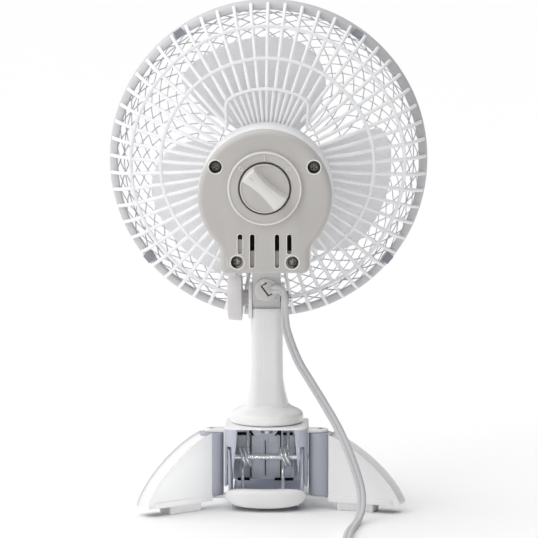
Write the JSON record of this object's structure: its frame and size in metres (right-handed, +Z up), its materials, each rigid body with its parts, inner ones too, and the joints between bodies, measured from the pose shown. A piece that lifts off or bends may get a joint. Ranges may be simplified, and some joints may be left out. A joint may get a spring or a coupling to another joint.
{
  "type": "desk fan",
  "caption": "Small clip-on desk fan: round guard, rear speed dial, tilting head on a swivel post, and a spring clip base with swing-out legs and a cord.",
  "frame": {"origin": "on the table, on the post's swivel axis, under the middle of the fan without its cord", "axes": "+Z up, +Y the way the air is blown, +X to the right when the fan is seen from behind"},
  "size_m": [0.197, 0.313, 0.308],
  "materials": {
    "white_plastic": "moulded white, glossy",
    "grey_plastic": "satin warm grey",
    "knob_plastic": "satin warm grey, lighter",
    "blade_plastic": "slightly translucent pale grey",
    "steel": "zinc plated",
    "dark_steel": "blackened",
    "rubber": "matt",
    "white_rubber": "matt, off-white",
    "laminations": "stacked steel sheet",
    "copper": "enamelled winding",
    "bronze": "sintered",
    "alloy": "die-cast",
    "cord": "pale grey PVC",
    "brass": "polished"
  },
  "bodies": {
    "base": {"clip_housing": "white_plastic", "clip_pin": "steel", "clip_spring_left": "steel", "clip_spring_right": "steel", "upper_grip_pad": "rubber", "leg_pins": "steel", "supply_cord_lower": "cord", "cord_coil": "cord", "plug_body": "cord", "plug_pins": "brass"},
    "lower_jaw": {"lower_jaw": "white_plastic", "lower_grip_pad": "rubber", "front_foot": "rubber"},
    "leg_left": {"leg_left": "white_plastic", "leg_pad_left": "white_rubber"},
    "leg_right": {"leg_right": "white_plastic", "leg_pad_right": "white_rubber"},
    "post": {"post": "white_plastic", "swivel_screw": "steel", "swivel_washer": "steel", "tilt_nut": "dark_steel"},
    "tilt_knob": {"tilt_lock_knob": "white_plastic", "tilt_bolt": "steel"},
    "head": {"motor_housing": "white_plastic", "rear_cover": "grey_plastic", "cover_screws": "dark_steel", "dial_ring": "grey_plastic", "speed_switch": "white_plastic", "stator_core": "laminations", "stator_coil": "copper", "front_bracket": "alloy", "rear_bracket": "alloy", "front_bearing": "bronze", "rear_bearing": "bronze", "bracket_screws": "steel", "rear_grille": "white_plastic", "grille_screws": "steel", "front_grille": "white_plastic", "grille_badge": "white_plastic", "rim_clips": "dark_steel", "strain_relief": "knob_plastic", "supply_cord_upper": "cord"},
    "speed_knob": {"speed_knob": "knob_plastic"},
    "rotor": {"rotor_core": "laminations", "motor_shaft": "steel", "fan_blade": "blade_plastic", "blade_nut": "white_plastic"}
  },
  "joints": [
    {"name": "clip_jaw", "type": "hinge", "parent": "base", "child": "lower_jaw", "pos_m": [0, -0.005, 0.0295], "axis": [1, 0, 0], "range_deg": [-35, 0], "stiffness_Nm_per_rad": 1.5, "springref_deg": 34.38, "deforming": ["clip_spring_left", "clip_spring_right"]},
    {"name": "leg_left_swing", "type": "hinge", "parent": "base", "child": "leg_left", "pos_m": [-0.0335, -0.014, 0.028], "axis": [0, 0, 1], "range_deg": [-127, 0]},
    {"name": "leg_right_swing", "type": "hinge", "parent": "base", "child": "leg_right", "pos_m": [0.0335, -0.014, 0.028], "axis": [0, 0, 1], "range_deg": [-12, 106]},
    {"name": "base_swivel", "type": "hinge", "parent": "base", "child": "post", "pos_m": [0, 0, 0.051], "axis": [0, 0, 1], "range_deg": [-90, 90]},
    {"name": "head_tilt", "type": "hinge", "parent": "post", "child": "head", "pos_m": [0, 0, 0.128], "axis": [1, 0, 0], "range_deg": [-15, 28]},
    {"name": "tilt_knob_turn", "type": "hinge", "parent": "post", "child": "tilt_knob", "pos_m": [0, 0, 0.128], "axis": [1, 0, 0], "range_deg": [0, 270]},
    {"name": "speed_knob_turn", "type": "hinge", "parent": "head", "child": "speed_knob", "pos_m": [0, -0.05, 0.2017], "axis": [0, 1, 0], "range_deg": [0, 98]},
    {"name": "blade_spin", "type": "hinge", "parent": "head", "child": "rotor", "pos_m": [0, 0, 0.2095], "axis": [0, 1, 0], "continuous": true}
  ]
}
